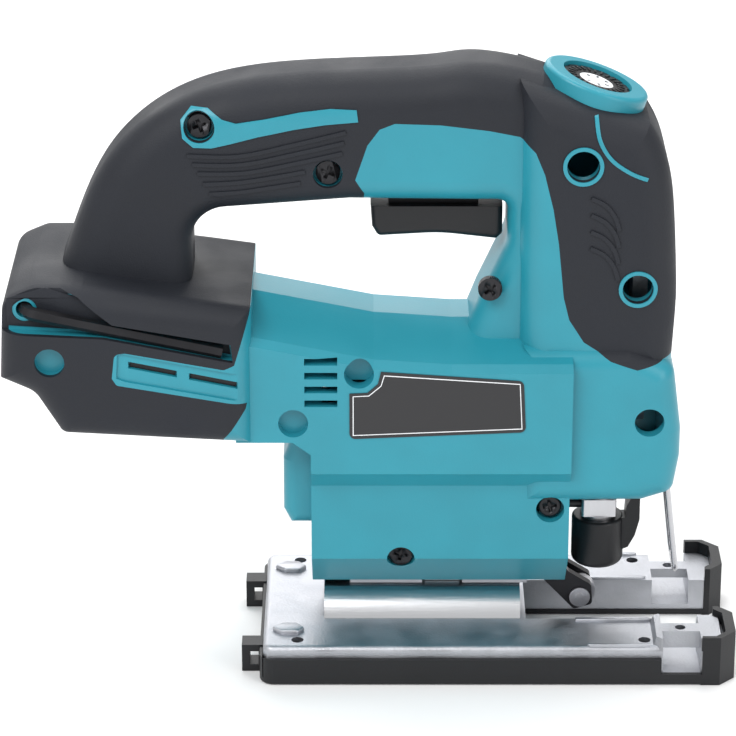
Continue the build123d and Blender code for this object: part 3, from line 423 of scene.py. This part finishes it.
# %% Helpers for carving
def merged_copy(node, name):
    """A copy of a CAD node with its triangles joined."""
    piece = frame["nodes"][node].copy()
    piece.data = frame["nodes"][node].data.copy()
    piece.name = name
    bpy.context.scene.collection.objects.link(piece)
    only(piece)
    bpy.ops.object.mode_set(mode="EDIT")
    bpy.ops.mesh.select_all(action="SELECT")
    bpy.ops.mesh.remove_doubles(threshold=0.002 * MM)
    bpy.ops.object.mode_set(mode="OBJECT")
    return piece


def prism(loop, near, far):
    """A closed solid of that outline between two Y places in mm, to carve with."""
    piece = flat_outline("cutter", [loop], depth=near * MM)
    extrude_all(piece, (0, far - near, 0))
    return piece


def carve(piece, cutters):
    """Subtracts the cutters from the piece and removes them."""
    for cutter in cutters:
        cut = piece.modifiers.new("carve", "BOOLEAN")
        cut.operation = "DIFFERENCE"
        cut.solver = "EXACT"
        cut.object = cutter
        apply_all(piece)
        bpy.data.objects.remove(cutter)
    only(piece)
    bpy.ops.object.shade_smooth_by_angle(angle=radians(35))


# %% [markdown]
# The casing screws are black pan heads with a cross recess. The CAD node already holds the five
# plain heads, so the crosses are carved into a merged copy of it, each turned its own way.

# %% Carve the screw heads
SCREWS = [(-57.0, 194.0), (-15.0, 178.0), (38.7, 139.0), (60.0, 60.0), (9.4, 41.0)]
screws = merged_copy("housing_screws", "screw_heads")
SCREW_TURNS = (20, 65, 40, 10, 80)
CROSS_LONG, CROSS_WIDE, CROSS_DEEP = 4.6, 1.1, 1.5
ON_HEAD = 3
for turn, (x, z) in zip(SCREW_TURNS, SCREWS):
    face = min(v.co.y for v in screws.data.vertices
               if abs(v.co.x / MM - x) < ON_HEAD and abs(v.co.z / MM - z) < ON_HEAD) / MM
    arm = Vector((cos(radians(turn)), sin(radians(turn)))) * CROSS_LONG / 2
    bars = [[(x - arm.x, z - arm.y), (x + arm.x, z + arm.y)],
            [(x + arm.y, z - arm.x), (x - arm.y, z + arm.x)]]
    carve(screws, [prism(stroke(bar, CROSS_WIDE), face - 1, face + CROSS_DEEP) for bar in bars])
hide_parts("housing_screws")
dress(screws, "black_steel")
print("screw heads carved:", len(SCREWS))

# %% [markdown]
# The speed dial's face is a white printed disc under the dial's rim. The numbers 1 to 6 are typed as
# text in a ring, turned into mesh, joined, and then tipped on to the slope of the front.

# %% Dial numbers
DIAL_CENTRE, DIAL_SLOPE, LABEL_TOP = Vector((74, 0, 206)) * MM, radians(19), -1.28 * MM
DIGITS, FIRST_TURN, TURN_STEP = 6, -135, 54
DIGIT_RING, DIGIT_SIZE, DIGIT_THICK = 3.9 * MM, 2.1 * MM, 0.05 * MM
INK = surface("printing_ink", (0.03, 0.035, 0.045), 0.5, grain=3000, depth=0.00001)


def onto_dial(piece):
    """Tips a piece drawn flat at the origin on to the dial, as part of its mesh."""
    only(piece)
    slope_up = Vector((sin(DIAL_SLOPE), 0, cos(DIAL_SLOPE)))
    piece.rotation_euler = (0, DIAL_SLOPE, 0)
    piece.location = DIAL_CENTRE + LABEL_TOP * slope_up
    bpy.ops.object.transform_apply()


def joined(name, pieces):
    """Several pieces made one."""
    bpy.ops.object.select_all(action="DESELECT")
    for piece in pieces:
        piece.select_set(True)
    bpy.context.view_layer.objects.active = pieces[0]
    bpy.ops.object.join()
    bpy.context.object.name = name
    return bpy.context.object


marks = []
for k in range(DIGITS):
    turn = radians(FIRST_TURN + TURN_STEP * k)
    bpy.ops.object.text_add(location=(0, 0, 0))
    digit = bpy.context.object
    digit.data.body = str(k + 1)
    digit.data.size, digit.data.extrude = DIGIT_SIZE, DIGIT_THICK
    digit.data.align_x, digit.data.align_y = "CENTER", "CENTER"
    digit.location = (DIGIT_RING * cos(turn), DIGIT_RING * sin(turn), 0)
    digit.rotation_euler = (0, 0, turn - pi / 2)
    only(digit)
    bpy.ops.object.convert(target="MESH")
    bpy.ops.object.transform_apply()
    marks.append(bpy.context.object)
numbers = joined("dial_numbers", marks)
onto_dial(numbers)
numbers.data.materials.clear()
numbers.data.materials.append(INK)
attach(numbers, "speed_dial")
print("dial numbers:", len(numbers.data.vertices), "vertices")

# %% [markdown]
# The grip of the dial is a ring of shallow teeth round the label, moulded in one with the dial. Each
# tooth is a small bevelled block, turned to its place in the ring.

# %% Dial teeth
def block(name, centre, size, edge):
    """A box with rounded edges, from a cube that is added at its size and place, in mm."""
    bpy.ops.object.select_all(action="DESELECT")
    bpy.ops.mesh.primitive_cube_add(size=1, location=[part * MM for part in centre])
    piece = bpy.context.object
    piece.name = name
    piece.scale = [part * MM for part in size]
    bpy.ops.object.transform_apply()
    bpy.ops.object.mode_set(mode="EDIT")
    bpy.ops.mesh.select_all(action="SELECT")
    bpy.ops.mesh.bevel(offset=edge * MM, segments=2, affect="EDGES")
    bpy.ops.object.mode_set(mode="OBJECT")
    bpy.ops.object.shade_smooth_by_angle(angle=radians(40))
    return piece


TEETH, TOOTH_CENTRE, TOOTH_SIZE, TOOTH_EDGE = 24, (8.6, 0, 0.15), (2.6, 0.8, 0.8), 0.2
teeth = []
for k in range(TEETH):
    tooth = block("tooth", TOOTH_CENTRE, TOOTH_SIZE, TOOTH_EDGE)
    tooth.rotation_euler = (0, 0, 2 * pi * k / TEETH)
    only(tooth)
    bpy.ops.object.transform_apply()
    teeth.append(tooth)
dial_teeth = joined("dial_teeth", teeth)
onto_dial(dial_teeth)
dress(dial_teeth, "black_plastic", body="speed_dial")
print("dial teeth:", len(dial_teeth.data.vertices), "vertices")

# %% [markdown]
# The casting of the base is not a plain plate: on each leg a raised lozenge boss stands by the rear
# corner, and two low ribs run forward, one inside the outer edge and one beside the slot. They are
# cast in one with the plate, so they get the same rough aluminium and soft edges.

# %% Cast ribs and bosses
PAD_RISE = 2.8                  # the front pads are the casting's highest place
PLATE_TOP_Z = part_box("base_plate")[1][2] / MM - PAD_RISE
SUNK = 0.6                      # how deep a cast shape starts in the plate


def lug(name, outline, rise, edge):
    """A raised cast shape on the plate's top, from its plan outline, with soft edges."""
    piece = flat_outline(name, [outline])
    only(piece)
    piece.rotation_euler = (-pi / 2, 0, 0)
    bpy.ops.object.transform_apply()
    low = min(vertex.co.z for vertex in piece.data.vertices)
    piece.location = (0, 0, (PLATE_TOP_Z - SUNK) * MM - low)
    bpy.ops.object.transform_apply()
    extrude_all(piece, (0, 0, rise + SUNK))
    add_soft_edge(piece, edge, segments=3, sharper_than=40)
    apply_all(piece)
    bpy.ops.object.shade_smooth_by_angle(angle=radians(40))
    dress(piece, "cast_aluminium", "base")


print("plate top at", round(PLATE_TOP_Z, 2), "mm")
REAR_BOSS = [(-35, 24), (-31.5, 20.8), (-26, 20.8), (-23.6, 24), (-26, 27.2), (-31.5, 27.2)]
EDGE_RIB = [(74, 34.4), (73, 35.3), (74, 36.2), (92, 36.2), (95, 35.6), (92, 34.4)]
SLOT_RIB = [(70, 15.3), (70, 17.4), (94, 17.4), (97, 16.6), (95, 15.3)]
CAST_SHAPES = (("rear_boss", REAR_BOSS, 1.6, 0.8), ("edge_rib", EDGE_RIB, 0.9, 0.4),
               ("slot_rib", SLOT_RIB, 0.9, 0.4))
SIDES = ((-1, "right"), (1, "left"))
for side, hand in SIDES:
    for name, outline, rise, edge in CAST_SHAPES:
        lug(f"{name}_{hand}", [(x, side * y) for x, y in outline], rise, edge)
print("cast shapes made")

# %% [markdown]
# Three quiet things finish the battery mount and the label. The groove of the stowed hex key is lined
# with the soft skin, the two slots of each mount panel get black slabs on their floors as painted
# shade, and the blank label has a fine raised frame, as a printed border has. Each is a thin slab cut
# from its outline.

# %% Linings, painted shade in the slots and the label's frame
def thin_slab(name, loops, near, far, slot_name):
    """A thin upright slab between two Y places in mm, with any holes in its outline."""
    piece = flat_outline(name, loops, depth=near * MM)
    extrude_all(piece, (0, far - near, 0))
    add_soft_edge(piece, min(abs(far - near) * 0.35, 0.2))
    apply_all(piece)
    bpy.ops.object.shade_smooth_by_angle(angle=radians(40))
    dress(piece, slot_name)


KEY_GROOVE = [(-121, 139.6), (-108, 143.4), (-97, 139.8), (-86.6, 131), (-48, 124.2), (-47.3, 119.5),
              (-89, 127.8), (-121, 130)]
KEY_BEND_HOLE = circle(-115, 135.5, 4.1)
thin_slab("key_groove_lining", [KEY_GROOVE, KEY_BEND_HOLE], -30.3, -30.8, "grip_rubber")
SLOTS = [[(-80.6, 117.5), (-65.4, 114.4)], [(-60.6, 113.4), (-45.4, 110.3)]]
SLOT_WIDE, SLOT_FLOOR, SLOT_FACE = 2.0, 33.3, 33.9
# The black slabs in the slots are painted shade: they darken the recesses instead of letting light do
# it.
for side, hand in SIDES:
    for k, slot in enumerate(SLOTS):
        thin_slab(f"mount_slot_{k + 1}_{hand}", [stroke(slot, SLOT_WIDE)],
                  side * SLOT_FLOOR, side * SLOT_FACE, "black_plastic")
LABEL_FRAME = [(-6.9, 90.2), (-6.9, 104.6), (-1.6, 104.9), (2.4, 108.4), (3.5, 112.2), (48.9, 109.1),
               (49.8, 92.6)]
LABEL_INNER = [(-6.6, 90.5), (-6.6, 104.35), (-1.45, 104.6), (2.65, 108.25), (3.7, 111.85),
               (48.65, 108.8), (49.5, 92.9)]
thin_slab("label_frame", [LABEL_FRAME, LABEL_INNER], -31.2, -31.36, "dial_print")
print("linings, slot floors and label frame made")
